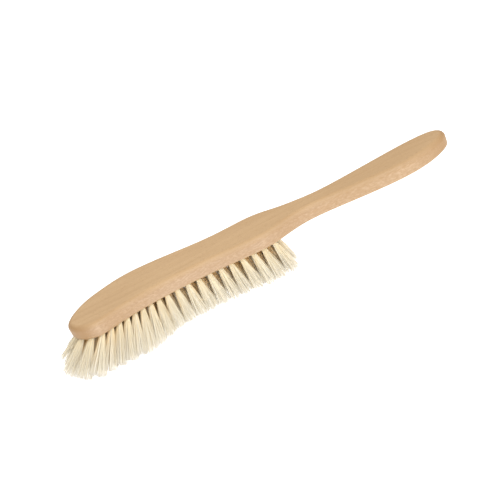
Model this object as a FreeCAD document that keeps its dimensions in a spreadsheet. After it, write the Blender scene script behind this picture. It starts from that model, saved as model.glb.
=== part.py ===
import FreeCAD, Part
import math
import os
import Sketcher

# A handled clothes brush.  One flat beech board, sawn to a long outline and rounded along its
# edges, is both the head and the handle.  Blind holes are drilled into the underside of the head.
# Each holds a tuft of bristle, folded double over a short piece of flat wire, the anchor, that
# bites into the wall of the hole.
#
# Two frames are used.  The board frame has X from the toe (the tip of the head) towards the heel
# (the end of the handle), Y across the board, and Z up from the board's underside.  The brush's
# own frame, which every finished piece is placed in, has the same directions and its origin under
# the middle of the whole brush, level with the trimmed ends of the bristles.

Vector = FreeCAD.Vector
TRIM_MARGIN = 60.0      # how far the trimming block stands past the brush all round
OUTLINE_STEP = 0.5      # spacing of the points that the hole lines are laid out from
SLICE = 0.8             # half the length of board looked at to find its edges at one place

DIMENSIONS = [
    ("board_thickness", 15.5, "thickness of the beech board"),
    ("top_edge_radius", 5.0, "rounding along the upper edge"),
    ("under_edge_radius", 4.0, "rounding along the lower edge"),
    ("bristle_drop", 33.0, "height of the board's underside over the trimmed bristle ends"),
    ("longest_bristle", 40.0, "free length of the most splayed tufts, which end short of the trim"),
    ("hole_diameter", 4.4, "blind hole for one tuft"),
    ("hole_depth", 9.0, "depth of a hole along its own axis"),
    ("tuft_root_diameter", 4.2, "tuft where it sits in its hole"),
    ("tuft_end_diameter", 6.6, "tuft at its free end"),
    ("anchor_length", 5.6, "flat anchor wire, across the hole"),
    ("anchor_width", 2.0, "flat anchor wire, along the hole"),
    ("anchor_thickness", 0.4, "flat anchor wire, its thin side"),
    ("fold_thickness", 1.0, "bristle between the anchor and the bottom of the hole"),
    ("edge_row_inset", 6.8, "outer line of holes, in from the outline"),
    ("second_row_inset", 14.0, "second line of holes, in from the outline"),
    ("edge_row_end", 197.0, "where the outer line stops, from the toe"),
    ("second_row_end", 199.5, "where the second line stops, from the toe"),
    ("middle_row_start", 33.0, "first hole of the short middle line"),
    ("middle_row_end", 96.0, "where the middle line stops"),
    ("front_pitch", 9.9, "spacing of the holes round the very front of the head"),
    ("front_end", 31.0, "where that spacing ends, from the toe"),
    ("toe_pitch", 7.75, "spacing of the holes in the fanned part of the head"),
    ("head_pitch", 10.4, "spacing of the holes in the rest of the head"),
    ("fan_end", 90.0, "where the closer spacing ends, from the toe"),
    ("fore_lean_end", 95.0, "where the tufts stop leaning towards the toe"),
    ("fore_lean_rate", 0.36, "lean towards the toe for each millimetre ahead of that"),
    ("most_lean", 31.0, "the furthest that the end of a toe tuft leans out"),
    ("side_lean_toe", 1.22, "sideways lean at the toe, for each millimetre off the middle"),
    ("side_lean_rest", 0.46, "the same over the rest of the head"),
    ("side_lean_fade", 58.0, "where the sideways lean begins to ease off, from the toe"),
    ("side_lean_faded", 98.0, "where it has eased off"),
    ("hole_lean_share", 0.5, "lean of a hole, as a share of the lean its bristles splay out to"),
    ("rear_lean_start", 95.0, "where the tufts begin to lean towards the handle"),
    ("rear_lean_rate", 0.065, "lean towards the handle for each millimetre past that"),
    ("row_length", 8.35, "length of head whose tufts count as one cross row"),
    ("datum_along", 174.17, "middle of the whole brush, from the toe"),
    ("datum_across", 4.44, "middle of the whole brush, across the board"),
]

# The outline is a closed, smooth curve steered by pairs of control points.  Each station has its
# distance from the toe, the middle of its pair, and the distance between the two points.
STATIONS = [
    ("toe", 16.0, -3.55, 42.9),
    ("ball", 36.5, 1.95, 43.4),
    ("belly", 61.0, 7.45, 44.9),
    ("flank", 101.0, 6.95, 39.4),
    ("waist", 146.0, 2.45, 33.9),
    ("shoulder", 185.5, 1.95, 42.4),
    ("nape", 208.0, 0.95, 27.9),
    ("neck", 226.0, 1.45, 21.4),
    ("throat", 250.5, -1.05, 18.4),
    ("grip", 329.5, -2.55, 36.4),
    ("heel", 365.5, 3.45, 22.4),
]
# Single control points close the curve at each end: distance from the toe, and across.
ENDS = [("toe_end", -8.5, -4.5), ("heel_end", 372.5, 2.5)]


def make_sheet(doc):
    """Put every driving dimension in its own named cell."""
    sheet = doc.addObject("Spreadsheet::Sheet", "Sheet")
    cells = list(DIMENSIONS)
    for name, along, centre, width in STATIONS:
        cells.append((name + "_along", along, "outline control pair, from the toe"))
        cells.append((name + "_centre", centre, "outline control pair, its middle across"))
        cells.append((name + "_width", width, "outline control pair, its spread"))
    for name, along, across in ENDS:
        cells.append((name + "_along", along, "outline end point, from the toe"))
        cells.append((name + "_across", across, "outline end point, across"))
    for row, (alias, value, note) in enumerate(cells, start=1):
        sheet.set("A%d" % row, note)
        sheet.set("B%d" % row, str(value))
        sheet.setAlias("B%d" % row, alias)
    doc.recompute()
    return sheet


def control_points():
    """Expressions for the outline's control points, once round from the toe by the near side."""
    points = [("Sheet.toe_end_along", "Sheet.toe_end_across")]
    for name, _, _, _ in STATIONS:
        points.append(("Sheet.%s_along" % name, "Sheet.%s_centre - Sheet.%s_width / 2" % (name, name)))
    points.append(("Sheet.heel_end_along", "Sheet.heel_end_across"))
    for name, _, _, _ in reversed(STATIONS):
        points.append(("Sheet.%s_along" % name, "Sheet.%s_centre + Sheet.%s_width / 2" % (name, name)))
    return points


def control_positions():
    """The same control points as plain vectors, to start the sketch from."""
    near = [Vector(along, centre - width / 2, 0) for _, along, centre, width in STATIONS]
    far = [Vector(along, centre + width / 2, 0) for _, along, centre, width in STATIONS]
    toe, heel = [Vector(along, across, 0) for _, along, across in ENDS]
    return [toe] + near + [heel] + far[::-1]


def draw_outline(body):
    """Sketch the outline as a closed cubic spline whose control points follow the sheet."""
    sketch = body.newObject("Sketcher::SketchObject", "outline")
    planes = [item for item in body.Origin.OriginFeatures if item.Role == "XY_Plane"]
    sketch.AttachmentSupport = (planes[0], "")
    sketch.MapMode = "FlatFace"
    poles = control_positions()
    count = len(poles)
    spline = Part.BSplineCurve()
    spline.buildFromPolesMultsKnots(poles, [1] * (count + 1), list(range(count + 1)), True, 3)
    curve = sketch.addGeometry(spline, False)
    sketch.exposeInternalGeometry(curve)
    for index, (along, across) in enumerate(control_points()):
        circle = curve + 1 + index
        for kind, value, formula in (("DistanceX", poles[index].x, along),
                                     ("DistanceY", poles[index].y, across)):
            number = sketch.addConstraint(Sketcher.Constraint(kind, -1, 1, circle, 3, value))
            sketch.setExpression("Constraints[%d]" % number, formula)
    return sketch


def edges_at(shape, height):
    """Names of the edges that lie flat at one height."""
    names = []
    for number, edge in enumerate(shape.Edges, start=1):
        box = edge.BoundBox
        if abs(box.ZMin - height) < 0.01 and abs(box.ZMax - height) < 0.01:
            names.append("Edge%d" % number)
    return names


def make_board(doc, sheet):
    """The board with its rounded edges, before drilling."""
    body = doc.addObject("PartDesign::Body", "board")
    sketch = draw_outline(body)
    pad = body.newObject("PartDesign::Pad", "board_blank")
    pad.Profile = sketch
    pad.setExpression("Length", "Sheet.board_thickness")
    doc.recompute()
    upper = body.newObject("PartDesign::Fillet", "upper_rounding")
    upper.Base = (pad, edges_at(pad.Shape, sheet.board_thickness))
    upper.setExpression("Radius", "Sheet.top_edge_radius")
    doc.recompute()
    lower = body.newObject("PartDesign::Fillet", "lower_rounding")
    lower.Base = (upper, edges_at(upper.Shape, 0.0))
    lower.setExpression("Radius", "Sheet.under_edge_radius")
    body.Tip = lower
    doc.recompute()
    return body, sketch


def inset_line(outline, inset, end):
    """Points a fixed distance inside the outline, from the near shoulder round the toe to the far."""
    inside = []
    count = len(outline)
    for index, point in enumerate(outline):
        ahead = outline[(index + 1) % count] - outline[index - 1]
        inward = Vector(-ahead.y, ahead.x, 0)
        inward.normalize()
        moved = point + inward * inset
        clear = min(moved.distanceToPoint(other) for other in outline)
        inside.append(moved if clear > inset - 0.05 and moved.x < end else None)
    start = max(range(count), key=lambda index: inside[index - 1] is None and inside[index] is not None)
    turned = inside[start:] + inside[:start]
    return [point for point in turned if point is not None]


def spread_along(line, pitch_at):
    """Evenly share tufts out along a line of points, where the pitch may vary."""
    travelled = [0.0]
    for before, after in zip(line, line[1:]):
        travelled.append(travelled[-1] + before.distanceToPoint(after) / pitch_at(after.x))
    count = round(travelled[-1])
    share = travelled[-1] / count
    places = []
    for number in range(count):
        target = (number + 0.5) * share
        index = next(i for i, value in enumerate(travelled) if value >= target)
        places.append(line[index])
    return places


def sides_at(outline, along):
    """Near and far edge of the board at one distance from the toe."""
    across = [point.y for point in outline if abs(point.x - along) < SLICE]
    return min(across), max(across)


def lay_out_tufts(sheet, outline):
    """Where each tuft leaves the underside: the outer line, the second line and the middle one."""
    def pitch_at(along):
        if along < sheet.front_end:
            return sheet.front_pitch
        return sheet.toe_pitch if along < sheet.fan_end else sheet.head_pitch

    edge_line = inset_line(outline, sheet.edge_row_inset, sheet.edge_row_end)
    second_line = inset_line(outline, sheet.second_row_inset, sheet.second_row_end)
    steps = int((sheet.middle_row_end - sheet.middle_row_start) / OUTLINE_STEP)
    middle_line = []
    for step in range(steps + 1):
        along = sheet.middle_row_start + step * OUTLINE_STEP
        near, far = sides_at(outline, along)
        middle_line.append(Vector(along, (near + far) / 2, 0))
    places = []
    for line in (edge_line, second_line, middle_line):
        places.extend(spread_along(line, pitch_at))
    return places


def smooth_step(value):
    """Ease from 0 to 1."""
    value = min(1.0, max(0.0, value))
    return value * value * (3 - 2 * value)


def lean_of(sheet, outline, place):
    """Sideways travel of a tuft's end from its mouth, by the time it reaches the trim."""
    near, far = sides_at(outline, place.x)
    eased = smooth_step((sheet.side_lean_faded - place.x) / (sheet.side_lean_faded - sheet.side_lean_fade))
    side_rate = sheet.side_lean_rest + (sheet.side_lean_toe - sheet.side_lean_rest) * eased
    fore = sheet.fore_lean_rate * max(0.0, sheet.fore_lean_end - place.x)
    rear = sheet.rear_lean_rate * max(0.0, place.x - sheet.rear_lean_start)
    lean = Vector(rear - fore, side_rate * (place.y - (near + far) / 2), 0)
    return lean * min(1.0, sheet.most_lean / max(lean.Length, 1.0))


def tuft_axis(sheet, lean):
    """Unit vector along a tuft, from its hole to its free end."""
    axis = Vector(lean.x, lean.y, -sheet.bristle_drop)
    axis.normalize()
    return axis


def placed(point, direction):
    """Placement whose Z runs along a direction and whose X stays level."""
    level = direction.cross(Vector(0, 0, 1))
    if level.Length < 1e-6:
        level = Vector(1, 0, 0)
    level.normalize()
    return FreeCAD.Placement(point, FreeCAD.Rotation(level, direction.cross(level), direction, "ZXY"))


def make_hole(doc, number, place, axis, depth):
    """Cutter for one blind hole: it runs from the bottom of the hole out past the underside."""
    hole = doc.addObject("Part::Cylinder", "hole_%02d" % number)
    hole.setExpression("Radius", "Sheet.hole_diameter / 2")
    hole.setExpression("Height", "Sheet.hole_depth * 2")
    hole.Placement = placed(place - axis * depth, axis)
    return hole


def make_anchor(doc, sheet, number, place, axis):
    """Flat wire across the hole, edge on to the tuft, just off the bottom."""
    anchor = doc.addObject("Part::Box", "anchor_%02d" % number)
    anchor.setExpression("Length", "Sheet.anchor_length")
    anchor.setExpression("Width", "Sheet.anchor_thickness")
    anchor.setExpression("Height", "Sheet.anchor_width")
    frame = placed(place - axis * (sheet.hole_depth - sheet.fold_thickness), axis)
    corner = Vector(-sheet.anchor_length / 2, -sheet.anchor_thickness / 2, 0)
    frame.Base = frame.multVec(corner)
    anchor.Placement = frame
    return anchor


def make_tuft(doc, sheet, number, place, bore, axis):
    """One tuft: a straight root in the hole and a flaring free length that leans out further."""
    root = doc.addObject("Part::Cylinder", "tuft_root_%02d" % number)
    root.setExpression("Radius", "Sheet.tuft_root_diameter / 2")
    root.setExpression("Height", "Sheet.hole_depth")
    root.Placement = placed(place - bore * sheet.hole_depth, bore)
    free = doc.addObject("Part::Cone", "tuft_free_%02d" % number)
    free.setExpression("Radius1", "Sheet.tuft_root_diameter / 2")
    free.setExpression("Radius2", "Sheet.tuft_end_diameter / 2")
    past_trim = sheet.bristle_drop / -axis.z + sheet.tuft_end_diameter
    free.Height = min(past_trim, sheet.longest_bristle)
    free.Placement = placed(place, axis)
    tuft = doc.addObject("Part::Fuse", "tuft_%02d" % number)
    tuft.Base = root
    tuft.Tool = free
    return tuft


def group(doc, name, members):
    """Several solids of one kind kept together."""
    compound = doc.addObject("Part::Compound", name)
    compound.Links = members
    return compound


def cut(doc, name, base, tool):
    """A boolean difference."""
    feature = doc.addObject("Part::Cut", name)
    feature.Base = base
    feature.Tool = tool
    return feature


def make_trim_block(doc, sheet):
    """Everything below the level that the bristles are trimmed to."""
    block = doc.addObject("Part::Box", "trim_block")
    block.Length = sheet.edge_row_end + 2 * TRIM_MARGIN
    block.Width = 2 * TRIM_MARGIN
    block.Height = TRIM_MARGIN
    block.Placement.Base = Vector(-TRIM_MARGIN, -TRIM_MARGIN, -sheet.bristle_drop - TRIM_MARGIN)
    return block


def finish(piece, label):
    """Name a finished sub-part and put it in the brush's own frame."""
    piece.Label = label
    piece.setExpression("Placement.Base.x", "-Sheet.datum_along")
    piece.setExpression("Placement.Base.y", "-Sheet.datum_across")
    piece.setExpression("Placement.Base.z", "Sheet.bristle_drop")
    return piece


def build(doc):
    """Build every sub-part and return them in order."""
    sheet = make_sheet(doc)
    board, sketch = make_board(doc, sheet)
    outline = sketch.Shape.Wires[0].discretize(Distance=OUTLINE_STEP)[:-1]
    places = lay_out_tufts(sheet, outline)
    places.sort(key=lambda place: (round(place.x, 1), place.y))
    trim_block = make_trim_block(doc, sheet)

    first = places[0].x
    holes, anchors, rows = [], [], {}
    for number, place in enumerate(places, start=1):
        lean = lean_of(sheet, outline, place)
        bore = tuft_axis(sheet, lean * sheet.hole_lean_share)
        hole = make_hole(doc, number, place, bore, sheet.hole_depth)
        anchor = make_anchor(doc, sheet, number, place, bore)
        tuft = make_tuft(doc, sheet, number, place, bore, tuft_axis(sheet, lean))
        holes.append(hole)
        anchors.append(anchor)
        rows.setdefault(int((place.x - first) / sheet.row_length) + 1, []).append((tuft, anchor))

    drilled = cut(doc, "drilled_board", board, group(doc, "all_holes", holes))
    brush_body = cut(doc, "slotted_board", drilled, group(doc, "all_anchors", anchors))
    parts = [finish(brush_body, "brush_body")]
    for row, members in sorted(rows.items()):
        anchor_row = group(doc, "anchors_%02d" % row, [anchor for _, anchor in members])
        tufts = group(doc, "tufts_%02d" % row, [tuft for tuft, _ in members])
        slotted = cut(doc, "slotted_tufts_%02d" % row, tufts, anchor_row)
        trimmed = cut(doc, "trimmed_tufts_%02d" % row, slotted, trim_block)
        parts.append(finish(trimmed, "tuft_row_%02d" % row))
        kept_anchors = group(doc, "kept_anchors_%02d" % row, [anchor for _, anchor in members])
        parts.append(finish(kept_anchors, "anchor_row_%02d" % row))
    doc.recompute()
    return parts


def check(doc, parts):
    """Stop if any feature failed or any sub-part isn't a sound solid."""
    for item in doc.Objects:
        if "Invalid" in item.State or "Error" in item.State:
            raise RuntimeError("feature %s failed: %s" % (item.Name, item.State))
    for part in parts:
        shape = part.Shape
        if shape.isNull() or not shape.isValid() or not shape.Solids:
            raise RuntimeError("sub-part %s is not a sound solid" % part.Label)


def export(parts):
    """Write one STEP file for each sub-part."""
    os.makedirs("parts", exist_ok=True)
    for part in parts:
        part.Shape.exportStep("parts/%s.step" % part.Label)


document = FreeCAD.newDocument("clothes_brush")
sub_parts = build(document)
check(document, sub_parts)
export(sub_parts)
whole = Part.Compound([part.Shape for part in sub_parts]).optimalBoundingBox(False)
print("sub-parts", len(sub_parts), "tufts", sum(len(p.Shape.Solids) for p in sub_parts if "tuft" in p.Label))
print("box x %.2f %.2f  y %.2f %.2f  z %.2f %.2f" % (whole.XMin, whole.XMax, whole.YMin, whole.YMax,
                                                     whole.ZMin, whole.ZMax))
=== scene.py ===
import math

import bpy
import numpy as np
from mathutils import Matrix, Vector


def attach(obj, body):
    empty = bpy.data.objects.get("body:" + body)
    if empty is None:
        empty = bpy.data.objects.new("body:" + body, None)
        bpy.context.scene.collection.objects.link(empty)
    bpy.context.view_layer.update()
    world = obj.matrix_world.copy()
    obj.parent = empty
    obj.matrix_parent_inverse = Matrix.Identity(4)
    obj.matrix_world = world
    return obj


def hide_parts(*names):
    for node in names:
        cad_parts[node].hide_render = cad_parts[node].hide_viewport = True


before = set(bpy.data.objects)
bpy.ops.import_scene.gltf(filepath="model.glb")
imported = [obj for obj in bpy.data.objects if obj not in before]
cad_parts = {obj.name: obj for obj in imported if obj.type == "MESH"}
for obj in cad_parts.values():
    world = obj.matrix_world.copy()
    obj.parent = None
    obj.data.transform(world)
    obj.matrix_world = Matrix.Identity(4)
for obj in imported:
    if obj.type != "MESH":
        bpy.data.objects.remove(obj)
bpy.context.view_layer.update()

MM = 0.001
random = np.random.RandomState(71)

# Camera: where it looks from, and the point on the board's back that it looks at.
CAMERA_AZIMUTH = math.radians(-3.0)
CAMERA_ELEVATION = math.radians(36.0)
CAMERA_ROLL = math.radians(-25.1)
CAMERA_DISTANCE = 1.087
CAMERA_AIM = Vector((-0.0046, -0.0321, 0.0485))
CAMERA_LENS = 91.7
SENSOR = 36.0

# Tufts, as the CAD model makes them.
HOLE_DEPTH = 9.0 * MM
DROP = 33.0 * MM            # from the board's underside to the trimmed ends
HOLE_LEAN_SHARE = 0.5       # a hole leans less than its bristles splay
CAD_ROOT_DIAMETER = 4.2 * MM
CAD_END_DIAMETER = 6.6 * MM
LONGEST = 40.0 * MM         # free length of the most splayed tufts

# Bristles.
BRISTLES_PER_TUFT = 240
BRISTLE_RADIUS = 0.15 * MM
BRISTLE_SIDES = 3
RING_STEPS = (0.0, 0.4, 0.9, 1.0)   # where a bristle's rings of corners are, along its free length
ROOT_RADIUS = 1.8 * MM
END_RADIUS = 5.2 * MM
NEIGHBOURHOOD = 20 * MM
FACE_SHARE = 0.6            # how much deeper the inward face of a tuft counts than its middle, for the painted shade
SPLAY_FLARE = 1.0           # the more a tuft leans the more it flares
WIDER = 1.15                # a tuft spreads more along its row than across it
LOCKS = 9                   # neighbouring bristles gather into locks towards their tips
GATHER = 0.35               # how far, at most, a bristle's tip moves towards its lock
LOCK_SCATTER = 0.5 * MM
TUFT_SCATTER = 0.3 * MM     # how unevenly whole tufts point
TIP_SCATTER = 0.45 * MM     # how unevenly single bristles end
STRAYS = 0.03               # share of bristles that end three times as unevenly
BOW = 0.28 * MM             # how far bristles bend outwards on the way
RAGGED = 0.35 * MM          # how unevenly the tips are cut
LOCK_RAGGED = 0.3 * MM
BURIED = 2.5 * MM           # length of bristle drawn inside the hole
GOLDEN_ANGLE = math.pi * (3 - math.sqrt(5))

# Light: a softbox at the front right, and a sky brighter overhead than at the horizon.
KEY_PLACE = (0.40, -1.22, 1.53)
KEY_POWER = 20.0
HORIZON = 0.60
ZENITH = 0.86
FLOOR_GLOW = 1.20


# ---------------------------------------------------------------- node helpers

def new_material(name):
    """An empty node material with its Principled shader."""
    material = bpy.data.materials.new(name)
    material.use_nodes = True
    return material, material.node_tree, material.node_tree.nodes["Principled BSDF"]


def node(tree, kind, **settings):
    """Add a node; settings name its properties, or its inputs by title."""
    made = tree.nodes.new(kind)
    for key, value in settings.items():
        if hasattr(made, key):
            setattr(made, key, value)
        else:
            made.inputs[key.replace("_", " ")].default_value = value
    return made


def link(tree, source, target):
    tree.links.new(source, target)


def scaled_coordinates(tree, scale, shift=(0, 0, 0)):
    """Object coordinates stretched by a scale for each axis."""
    coordinates = node(tree, "ShaderNodeTexCoord")
    mapping = node(tree, "ShaderNodeMapping")
    mapping.inputs["Scale"].default_value = scale
    mapping.inputs["Location"].default_value = shift
    link(tree, coordinates.outputs["Object"], mapping.inputs["Vector"])
    return mapping.outputs["Vector"]


def noise(tree, scale, detail=3.0, roughness=0.5, shift=(0, 0, 0)):
    """Noise stretched along the axes; scale is in features per metre."""
    texture = node(tree, "ShaderNodeTexNoise", Scale=1.0, Detail=detail, Roughness=roughness)
    link(tree, scaled_coordinates(tree, scale, shift), texture.inputs["Vector"])
    return texture.outputs["Fac"]


def remap(tree, value, low, high, to_low=0.0, to_high=1.0):
    """Clamp a value to a range and spread it over another."""
    made = node(tree, "ShaderNodeMapRange")
    made.inputs["From Min"].default_value = low
    made.inputs["From Max"].default_value = high
    made.inputs["To Min"].default_value = to_low
    made.inputs["To Max"].default_value = to_high
    link(tree, value, made.inputs["Value"])
    return made.outputs["Result"]


def arithmetic(tree, operation, first, second):
    """Add, multiply and so on; either operand may be a plain number."""
    made = node(tree, "ShaderNodeMath", operation=operation)
    for socket, value in zip(made.inputs, (first, second)):
        if isinstance(value, (int, float)):
            socket.default_value = value
        else:
            link(tree, value, socket)
    return made.outputs["Value"]


def blend_colour(tree, first, second, share):
    """Mix two colours; each may be a socket or a plain colour."""
    made = node(tree, "ShaderNodeMix", data_type="RGBA")
    for socket, value in ((made.inputs[0], share), (made.inputs[6], first), (made.inputs[7], second)):
        if isinstance(value, (int, float)):
            socket.default_value = value
        elif isinstance(value, tuple):
            socket.default_value = value + (1.0,)
        else:
            link(tree, value, socket)
    return made.outputs[2]


def bump(tree, height, strength, distance):
    """A normal from a height."""
    made = node(tree, "ShaderNodeBump", Strength=strength, Distance=distance)
    link(tree, height, made.inputs["Height"])
    return made.outputs["Normal"]


# ---------------------------------------------------------------- materials

def ring_lines(tree, spacing, shift):
    """Growth rings round a heart beside and below the board: 1 on the dark late wood, 0 between."""
    bend = noise(tree, (5, 12, 12), detail=2.0, shift=shift)
    ripple = noise(tree, (30, 160, 160), detail=2.0, shift=shift)
    split = node(tree, "ShaderNodeSeparateXYZ")
    link(tree, node(tree, "ShaderNodeTexCoord").outputs["Object"], split.inputs["Vector"])
    across = arithmetic(tree, "SUBTRACT", split.outputs["Y"], 0.05)
    below = arithmetic(tree, "ADD", split.outputs["Z"], 0.012)
    distance = arithmetic(tree, "SQRT", arithmetic(tree, "ADD", arithmetic(tree, "MULTIPLY", across, across),
                                                   arithmetic(tree, "MULTIPLY", below, below)), 0)
    distance = arithmetic(tree, "ADD", distance, arithmetic(tree, "MULTIPLY", bend, 0.020))
    distance = arithmetic(tree, "ADD", distance, arithmetic(tree, "MULTIPLY", ripple, 0.0012))
    phase = arithmetic(tree, "FRACT", arithmetic(tree, "DIVIDE", distance, spacing), 0)
    return arithmetic(tree, "MULTIPLY", arithmetic(tree, "POWER", phase, 3.0), remap(tree, phase, 1.0, 0.85))


def beech_material():
    """Steamed beech, fine sanded and thinly varnished: soft rings, short ray flecks, pores, darker end grain that
    also holds painted shade at the toe, and side faces tinted pinker as painted sheen.
    """
    material, tree, shader = new_material("beech")
    broad = noise(tree, (9, 55, 40), detail=2.0)
    streaks = noise(tree, (22, 420, 300), detail=4.0, roughness=0.6)
    fibres = noise(tree, (160, 2600, 2600), detail=3.0, roughness=0.7)
    flecks = remap(tree, noise(tree, (420, 2300, 900), detail=1.0), 0.62, 0.72)
    mottle = remap(tree, noise(tree, (300, 1500, 800), detail=2.0), 0.45, 0.62)
    pores = remap(tree, noise(tree, (1400, 7000, 7000), detail=0.0), 0.66, 0.78)
    rings = arithmetic(tree, "MULTIPLY", ring_lines(tree, 0.0052, (0.3, 0.1, 0.7)),
                       remap(tree, noise(tree, (14, 60, 60), detail=1.0), 0.4, 0.6, 0.15, 1.0))
    facing = node(tree, "ShaderNodeSeparateXYZ")
    link(tree, node(tree, "ShaderNodeTexCoord").outputs["Normal"], facing.inputs["Vector"])
    side = remap(tree, arithmetic(tree, "ABSOLUTE", facing.outputs["Z"], 0), 0.9, 0.2)
    end = remap(tree, arithmetic(tree, "ABSOLUTE", facing.outputs["X"], 0), 0.0, 0.5)
    place = node(tree, "ShaderNodeSeparateXYZ")
    link(tree, node(tree, "ShaderNodeTexCoord").outputs["Object"], place.inputs["Vector"])
    handle = remap(tree, place.outputs["X"], 0.02, 0.10)

    colour = blend_colour(tree, (0.560, 0.365, 0.190), (0.620, 0.415, 0.222), remap(tree, broad, 0.3, 0.7))
    # Painted sheen: side faces are mixed toward a less saturated, pinker tone, standing in for the white floor
    # reflected in them.
    colour = blend_colour(tree, colour, (0.455, 0.305, 0.198), arithmetic(tree, "MULTIPLY", side, 0.75))
    colour = blend_colour(tree, colour, (0.50, 0.320, 0.160), arithmetic(tree, "MULTIPLY", handle, 0.50))
    colour = blend_colour(tree, colour, (0.50, 0.30, 0.14), remap(tree, streaks, 0.5, 0.8, 0.0, 0.45))
    colour = blend_colour(tree, colour, (0.40, 0.23, 0.10), arithmetic(tree, "MULTIPLY", rings, 0.32))
    colour = blend_colour(tree, colour, (0.68, 0.49, 0.29), remap(tree, fibres, 0.55, 0.8, 0.0, 0.30))
    colour = blend_colour(tree, colour, (0.38, 0.22, 0.105), arithmetic(tree, "MULTIPLY", flecks, 0.45))
    colour = blend_colour(tree, colour, (0.66, 0.480, 0.315),
                          arithmetic(tree, "MULTIPLY", arithmetic(tree, "MULTIPLY", side, mottle), 0.45))
    colour = blend_colour(tree, colour, (0.34, 0.20, 0.095), arithmetic(tree, "MULTIPLY", pores, 0.35))
    # Darker where faces turn toward the ends: end grain, and partly painted shade on the side of the toe.
    colour = blend_colour(tree, colour, (0.40, 0.235, 0.105), arithmetic(tree, "MULTIPLY", end, 0.9))
    link(tree, colour, shader.inputs["Base Color"])

    rough = arithmetic(tree, "ADD", remap(tree, streaks, 0.2, 0.8, 0.40, 0.50),
                       arithmetic(tree, "MULTIPLY", flecks, 0.08))
    link(tree, rough, shader.inputs["Roughness"])
    height = arithmetic(tree, "SUBTRACT", fibres, arithmetic(tree, "MULTIPLY", pores, 0.8))
    link(tree, bump(tree, height, 0.25, 0.05 * MM), shader.inputs["Normal"])
    shader.inputs["Specular IOR Level"].default_value = 0.35
    return material


def bristle_material():
    """Cream bristle: each strand a little different, greyer where cut. Yellower towards the root, partly its own
    colour and partly painted shade, and browner deep inside the brush as painted shade.
    """
    material, tree, shader = new_material("bristle")
    strand = node(tree, "ShaderNodeNewGeometry").outputs["Random Per Island"]
    along = node(tree, "ShaderNodeAttribute", attribute_name="along").outputs["Fac"]
    inside = node(tree, "ShaderNodeAttribute", attribute_name="inside").outputs["Fac"]
    root = remap(tree, along, 0.9, 0.1)
    deep = arithmetic(tree, "MULTIPLY", remap(tree, inside, 0.30, 0.65), root)
    # Yellower towards the root: partly the bristle's own colour, partly painted shade for the gaps between tufts.
    colour = blend_colour(tree, (0.890, 0.835, 0.710), (0.93, 0.81, 0.56), root)
    # Painted shade: bristles deep inside the brush are tinted brown towards their roots, standing in for the
    # shade between the tufts.
    colour = blend_colour(tree, colour, (0.98, 0.66, 0.26), deep)
    colour = blend_colour(tree, colour, (0.88, 0.74, 0.47), remap(tree, strand, 0.72, 1.0, 0.0, 0.5))
    colour = blend_colour(tree, colour, (0.960, 0.930, 0.84), remap(tree, strand, 0.28, 0.0, 0.0, 0.6))
    colour = blend_colour(tree, colour, (0.58, 0.54, 0.48), remap(tree, along, 0.9, 1.0, 0.0, 0.6))
    link(tree, colour, shader.inputs["Base Color"])
    wear = noise(tree, (900, 900, 260), detail=2.0)
    link(tree, remap(tree, wear, 0.3, 0.7, 0.36, 0.52), shader.inputs["Roughness"])
    shader.inputs["Specular IOR Level"].default_value = 0.4
    return material


def wire_material():
    """Drawn flat steel wire."""
    material, tree, shader = new_material("anchor_wire")
    lines = noise(tree, (300, 300, 9000), detail=2.0)
    link(tree, blend_colour(tree, (0.45, 0.45, 0.44), (0.62, 0.61, 0.58), lines), shader.inputs["Base Color"])
    link(tree, remap(tree, lines, 0.3, 0.7, 0.25, 0.45), shader.inputs["Roughness"])
    shader.inputs["Metallic"].default_value = 1.0
    return material


def floor_material():
    """Bright, plain white sweep."""
    material, tree, shader = new_material("floor_white")
    shader.inputs["Base Color"].default_value = (0.35, 0.35, 0.35, 1)
    shader.inputs["Roughness"].default_value = 0.9
    shader.inputs["Specular IOR Level"].default_value = 0.1
    shader.inputs["Emission Color"].default_value = (1, 1, 1, 1)
    shader.inputs["Emission Strength"].default_value = FLOOR_GLOW
    return material


# ---------------------------------------------------------------- tufts

def unit(vector):
    """The same direction, one long."""
    return vector / np.linalg.norm(vector)


def separate_solids(item):
    """Vertices of each closed solid in a CAD node, as arrays. Vertices that coincide are one."""
    mesh = item.data
    places = np.zeros(len(mesh.vertices) * 3)
    mesh.vertices.foreach_get("co", places)
    places, number = np.unique(np.round(places.reshape(-1, 3), 7), axis=0, return_inverse=True)
    number = number.ravel()
    edges = np.zeros(len(mesh.edges) * 2, int)
    mesh.edges.foreach_get("vertices", edges)
    edges = number[edges.reshape(-1, 2)]
    label = np.arange(len(places))
    while True:
        lowest = np.minimum(label[edges[:, 0]], label[edges[:, 1]])
        before = label.copy()
        np.minimum.at(label, edges[:, 0], lowest)
        np.minimum.at(label, edges[:, 1], lowest)
        label = label[label]
        if (label == before).all():
            break
    return [places[label == value] for value in np.unique(label)]


def centre_line(lean, points):
    """Mouth and direction of a CAD tuft that leans this far, found from the end of its root."""
    bore = unit(np.append(lean * HOLE_LEAN_SHARE, -DROP))
    depth = points @ bore
    root = points[depth < depth.min() + 0.5 * MM].mean(0)
    return root + bore * HOLE_DEPTH, unit(np.append(lean, -DROP))


def misfit(lean, points):
    """How far the points of a CAD tuft's free length are from the cone that this lean gives."""
    mouth, axis = centre_line(lean, points)
    free = points[points[:, 2] < DROP - 2 * MM] - mouth
    along = free @ axis
    height = min(np.linalg.norm(np.append(lean, DROP)) + CAD_END_DIAMETER, LONGEST)
    widening = (CAD_END_DIAMETER - CAD_ROOT_DIAMETER) / 2 * along / height
    return np.linalg.norm(free - along[:, None] * axis, axis=1) - CAD_ROOT_DIAMETER / 2 - widening


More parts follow.
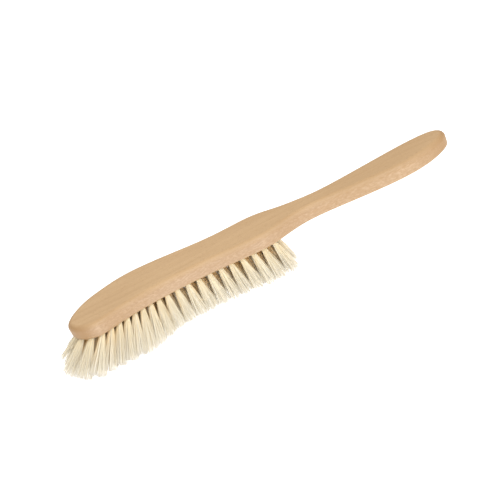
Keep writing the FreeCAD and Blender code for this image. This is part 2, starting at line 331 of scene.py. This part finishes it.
def read_tuft(points):
    """Mouth of a CAD tuft's hole, and its lean: sideways travel from there to the trim."""
    lean = (points[points[:, 2] < DROP / 2].mean(0) - points[points[:, 2] > DROP + 2 * MM].mean(0))[:2]
    nudge = 0.01 * MM
    for _ in range(12):
        missed = misfit(lean, points)
        slope = np.stack([(misfit(lean + shift, points) - missed) / nudge for shift in np.eye(2) * nudge], 1)
        lean = lean - np.linalg.lstsq(slope, missed, rcond=None)[0]
    return centre_line(lean, points)[0], lean


def sunflower(count, turn):
    """Directions and distances from the middle that fill a disc of radius 1 evenly."""
    angle = np.arange(count) * GOLDEN_ANGLE + turn
    distance = np.sqrt((np.arange(count) + 0.5) / count)
    return np.stack([np.cos(angle), np.sin(angle)], 1), distance


def grow_tuft(mouth, lean):
    """Corners of one tuft's bristles, by bristle, ring along it, corner of the ring and coordinate."""
    count = BRISTLES_PER_TUFT
    axis = unit(np.append(lean, -DROP))
    bore = unit(np.append(lean * HOLE_LEAN_SHARE, -DROP))
    level = unit(np.cross(axis, (0.0, 0.0, 1.0)) + (1e-9, 0, 0))
    sides = np.stack([level, np.cross(axis, level)])
    to_trim = np.linalg.norm(np.append(lean, DROP))
    length = min(to_trim, LONGEST)

    heading, distance = sunflower(count, random.uniform(0, 2 * math.pi))
    root = heading * (distance * ROOT_RADIUS)[:, None]
    flare = ROOT_RADIUS + (END_RADIUS - ROOT_RADIUS) * (1 + SPLAY_FLARE * np.linalg.norm(lean) / DROP)
    end = heading * (distance * flare)[:, None]
    lock_heading, lock_distance = sunflower(LOCKS, random.uniform(0, 2 * math.pi))
    locks = lock_heading * (lock_distance * flare)[:, None] + random.normal(0, LOCK_SCATTER, (LOCKS, 2))
    nearest = np.argmin(np.linalg.norm(end[:, None] - locks[None], axis=2), axis=1)
    scatter = random.normal(0, TIP_SCATTER, (count, 2))
    scatter *= np.where(random.rand(count) < STRAYS, 3.0, 1.0)[:, None]
    end += (locks[nearest] - end) * GATHER * random.rand(count, 1) + scatter + random.normal(0, TUFT_SCATTER, 2)
    end[:, 0] *= WIDER
    bow = random.normal(0, BOW, count)
    root, end, outward = root @ sides, end @ sides, heading @ sides

    ragged = abs(random.normal(0, RAGGED, count)) + abs(random.normal(0, LOCK_RAGGED, LOCKS))[nearest]
    trimmed = (mouth[2] + end[:, 2] - ragged) / -axis[2]
    if to_trim > LONGEST:
        trimmed = np.minimum(LONGEST * (1 - 0.03 * distance ** 2) - ragged, trimmed)

    rings = [mouth - bore * BURIED + root]
    for step in RING_STEPS:
        centre = mouth + axis * (trimmed * step)[:, None] + root + (end - root) * step ** 1.1
        rings.append(centre + outward * (bow * math.sin(math.pi * step))[:, None])
    corners = []
    for centre, thickness in zip(rings, (1.0, 1.0, 1.0, 0.9, 0.7)):
        ring = []
        for side in range(BRISTLE_SIDES):
            angle = 2 * math.pi * side / BRISTLE_SIDES + distance * 40
            around = np.stack([np.cos(angle), np.sin(angle)], 1) @ sides
            ring.append(centre + around * BRISTLE_RADIUS * thickness)
        corners.append(np.stack(ring, 1))
    return np.stack(corners, 1)


def bristle_faces(tufts, rings):
    """Quads along every bristle and a small cap at its tip."""
    sides = BRISTLE_SIDES
    first = np.arange(tufts * BRISTLES_PER_TUFT)[:, None] * rings * sides
    quads = []
    for ring in range(rings - 1):
        for side in range(sides):
            here = ring * sides + side
            beside = ring * sides + (side + 1) % sides
            quads.append([here, here + sides, beside + sides, beside])
    quads = (first[:, None, :] + np.array(quads)[None]).reshape(-1, 4)
    tip = [(rings - 1) * sides + side for side in range(sides)]
    return quads.tolist() + (first + np.array(tip)[None, ::-1]).tolist()


def inward_pull(mouth, mouths):
    """Mean direction to a tuft's neighbours: long at the edge of the head, short in the middle."""
    away = mouths - mouth
    distance = np.linalg.norm(away, axis=1)
    near = (distance > 0) & (distance < NEIGHBOURHOOD)
    return (away[near] / distance[near, None]).mean(0)


def depth_inside(mouth, corners, mouths):
    """How deep inside the brush each bristle of a tuft is: higher on the tuft's inward face. The bristle colour
    paints shade where it is high.
    """
    pull = inward_pull(mouth, mouths)
    offset = (corners[:, 1].mean(1) - mouth) / ROOT_RADIUS
    return 1 - np.linalg.norm(pull) + FACE_SHARE * offset @ pull


def mark(mesh, title, values, corners):
    """Give every corner of the bristles a number that their material can read."""
    spread = np.broadcast_to(values, corners.shape[:-1]).ravel()
    mesh.attributes.new(title, "FLOAT", "POINT").data.foreach_set("value", spread.copy())


def make_tuft_row(name, tufts, mouths, material):
    """All the bristles of one CAD tuft row, as one piece in its place."""
    grown = [grow_tuft(mouth, lean) for mouth, lean in tufts]
    corners = np.stack(grown)
    rings = corners.shape[2]
    mesh = bpy.data.meshes.new(name + "_bristles")
    mesh.from_pydata(corners.reshape(-1, 3).tolist(), [], bristle_faces(len(grown), rings))
    mesh.polygons.foreach_set("use_smooth", [False] * len(mesh.polygons))
    mesh.materials.append(material)
    # Depth inside the brush, where the bristle material paints shade.
    inside = np.stack([depth_inside(mouth, tuft, mouths) for (mouth, _), tuft in zip(tufts, grown)])
    mark(mesh, "inside", inside[:, :, None, None], corners)
    mark(mesh, "along", np.array((0.0,) + RING_STEPS)[:, None], corners)
    mesh.update()
    piece = bpy.data.objects.new(name + "_bristles", mesh)
    bpy.context.scene.collection.objects.link(piece)
    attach(piece, "root")
    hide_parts(name)
    return piece


# ---------------------------------------------------------------- studio

def make_camera():
    """Look at the brush from above its near side, with the camera rolled."""
    forward = Vector((-math.sin(CAMERA_AZIMUTH) * math.cos(CAMERA_ELEVATION),
                      math.cos(CAMERA_AZIMUTH) * math.cos(CAMERA_ELEVATION),
                      -math.sin(CAMERA_ELEVATION)))
    level = Vector((math.cos(CAMERA_AZIMUTH), math.sin(CAMERA_AZIMUTH), 0))
    upward = level.cross(forward)
    right = math.cos(CAMERA_ROLL) * level + math.sin(CAMERA_ROLL) * upward
    top = -math.sin(CAMERA_ROLL) * level + math.cos(CAMERA_ROLL) * upward
    camera = bpy.data.objects.new("camera", bpy.data.cameras.new("camera"))
    bpy.context.scene.collection.objects.link(camera)
    camera.data.lens = CAMERA_LENS
    camera.data.sensor_width = SENSOR
    camera.data.clip_start = 0.01
    turn = Matrix((right, top, -forward)).transposed().to_4x4()
    camera.matrix_world = Matrix.Translation(CAMERA_AIM - forward * CAMERA_DISTANCE) @ turn
    bpy.context.scene.camera = camera


def make_softbox(name, place, size, power):
    """A square area light aimed at the middle of the brush."""
    light = bpy.data.lights.new(name, "AREA")
    light.size = size
    light.energy = power
    lamp = bpy.data.objects.new(name, light)
    bpy.context.scene.collection.objects.link(lamp)
    lamp.location = place
    lamp.rotation_euler = (Vector((0, 0, 0.03)) - Vector(place)).to_track_quat("-Z", "Y").to_euler()


def make_studio():
    """White floor, even white surroundings and a large soft key light from the front right."""
    half = 8.0
    mesh = bpy.data.meshes.new("floor")
    mesh.from_pydata([(-half, -half, 0), (half, -half, 0), (half, half, 0), (-half, half, 0)], [], [(0, 1, 2, 3)])
    mesh.materials.append(floor_material())
    floor = bpy.data.objects.new("floor", mesh)
    bpy.context.scene.collection.objects.link(floor)
    floor.location.z = -0.0003

    world = bpy.data.worlds.new("surroundings")
    world.use_nodes = True
    tree = world.node_tree
    split = node(tree, "ShaderNodeSeparateXYZ")
    link(tree, node(tree, "ShaderNodeTexCoord").outputs["Generated"], split.inputs["Vector"])
    brightness = remap(tree, split.outputs["Z"], 0.0, 1.0, HORIZON, ZENITH)
    link(tree, brightness, tree.nodes["Background"].inputs["Strength"])
    tree.nodes["Background"].inputs["Color"].default_value = (1, 1, 1, 1)
    bpy.context.scene.world = world
    make_softbox("key", KEY_PLACE, 1.2, KEY_POWER)
    bpy.context.scene.view_settings.view_transform = "Standard"


# ---------------------------------------------------------------- build

beech = beech_material()
bristle = bristle_material()
wire = wire_material()
make_camera()
make_studio()

rows = {}
for name, item in sorted(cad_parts.items()):
    if name.startswith("tuft_row"):
        rows[name] = [read_tuft(points) for points in separate_solids(item)]
    else:
        item.data.materials.clear()
        item.data.materials.append(beech if name == "brush_body" else wire)
mouths = np.array([mouth for tufts in rows.values() for mouth, _ in tufts])
for name, tufts in rows.items():
    make_tuft_row(name, tufts, mouths, bristle)
